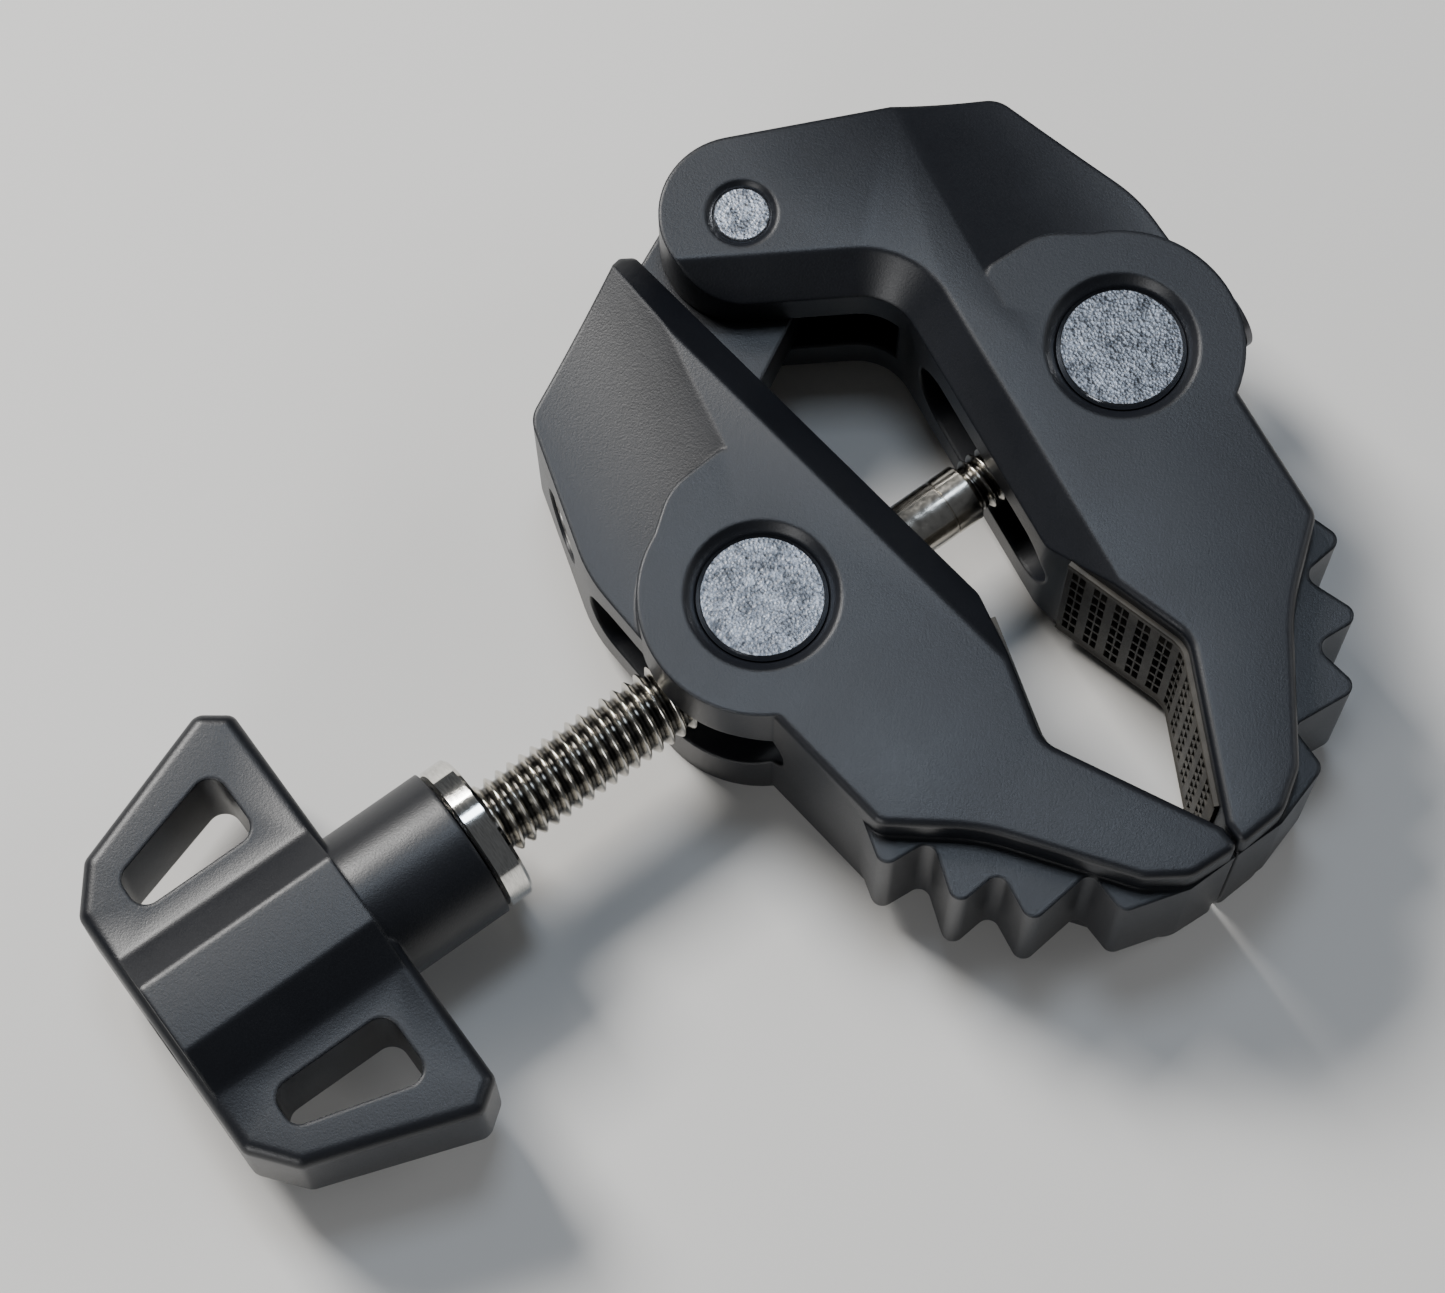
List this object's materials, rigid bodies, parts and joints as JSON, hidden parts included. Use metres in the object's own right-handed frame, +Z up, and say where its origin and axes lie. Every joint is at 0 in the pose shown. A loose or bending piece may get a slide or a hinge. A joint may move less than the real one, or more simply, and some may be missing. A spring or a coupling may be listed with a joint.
{
  "type": "super clamp",
  "caption": "Hinged two-jaw clamp with rubber lined V mouths, barrel nuts, a double-threaded screw and a tee handle, for gripping rods and rails.",
  "frame": {"origin": "middle of the mouth between the closed jaws, on the flat face that the clamp lies on", "axes": "+X along the screw from the handle to the far jaw, +Y from the mouth to the hinge, +Z up, along the hinge axis"},
  "size_m": [0.1301, 0.0886, 0.025],
  "materials": {
    "jaw_coating": "fine-grained matt black powder coating on cast aluminium",
    "handle_coating": "fine-grained matt black powder coating on a casting",
    "pad_rubber": "moulded black rubber with rows of small pits",
    "nut_steel": "nickel plated steel, speckled end faces and a bright turned rim",
    "pin_steel": "dull nickel plated steel",
    "washer_steel": "plain steel",
    "insert_steel": "plain threaded steel",
    "ring_chrome": "polished chrome",
    "screw_steel": "bright nickel plated steel thread",
    "end_screw_steel": "dark steel",
    "clip_steel": "dark spring steel"
  },
  "bodies": {
    "near_jaw": {"near_jaw": "jaw_coating", "near_jaw_pad": "pad_rubber", "near_quarter_inch_insert": "insert_steel"},
    "near_nut": {"near_barrel_nut": "nut_steel"},
    "ring": {"thrust_ring": "ring_chrome"},
    "screw": {"clamp_screw": "screw_steel", "tee_handle": "handle_coating", "handle_end_screw": "end_screw_steel", "screw_end_clip": "clip_steel"},
    "far_jaw": {"far_jaw": "jaw_coating", "far_jaw_pad": "pad_rubber", "far_quarter_inch_insert": "insert_steel", "three_eighths_insert": "insert_steel", "hinge_pin": "pin_steel", "upper_hinge_washer": "washer_steel", "lower_hinge_washer": "washer_steel"},
    "far_nut": {"far_barrel_nut": "nut_steel"}
  },
  "joints": [
    {"name": "near_nut_swivel", "type": "hinge", "parent": "near_jaw", "child": "near_nut", "pos_m": [-0.0219, 0.0276, 0.0125], "axis": [0, 0, 1], "range_deg": [0, 15.5]},
    {"name": "screw_travel", "type": "slide", "parent": "near_nut", "child": "ring", "axis": [1, 0, 0], "range_m": [0, 0.00905]},
    {"name": "handle_turn", "type": "hinge", "parent": "ring", "child": "screw", "pos_m": [-0.0566, 0.0276, 0.0125], "axis": [-1, 0, 0], "range_deg": [0, 2592]},
    {"name": "jaw_hinge", "type": "hinge", "parent": "near_jaw", "child": "far_jaw", "pos_m": [0, 0.061, 0.0125], "axis": [0, 0, 1], "range_deg": [0, 30.9]},
    {"name": "far_nut_swivel", "type": "hinge", "parent": "far_jaw", "child": "far_nut", "pos_m": [0.0219, 0.0276, 0.0125], "axis": [0, 0, 1], "range_deg": [-15.5, 0]}
  ],
  "couplings": [
    {"joint": "near_nut_swivel", "follows": "handle_turn", "ratio": 0.0059416},
    {"joint": "screw_travel", "follows": "handle_turn", "m_per_rad": 0.00019894},
    {"joint": "jaw_hinge", "follows": "handle_turn", "ratio": 0.011883},
    {"joint": "far_nut_swivel", "follows": "handle_turn", "ratio": -0.0059416}
  ]
}
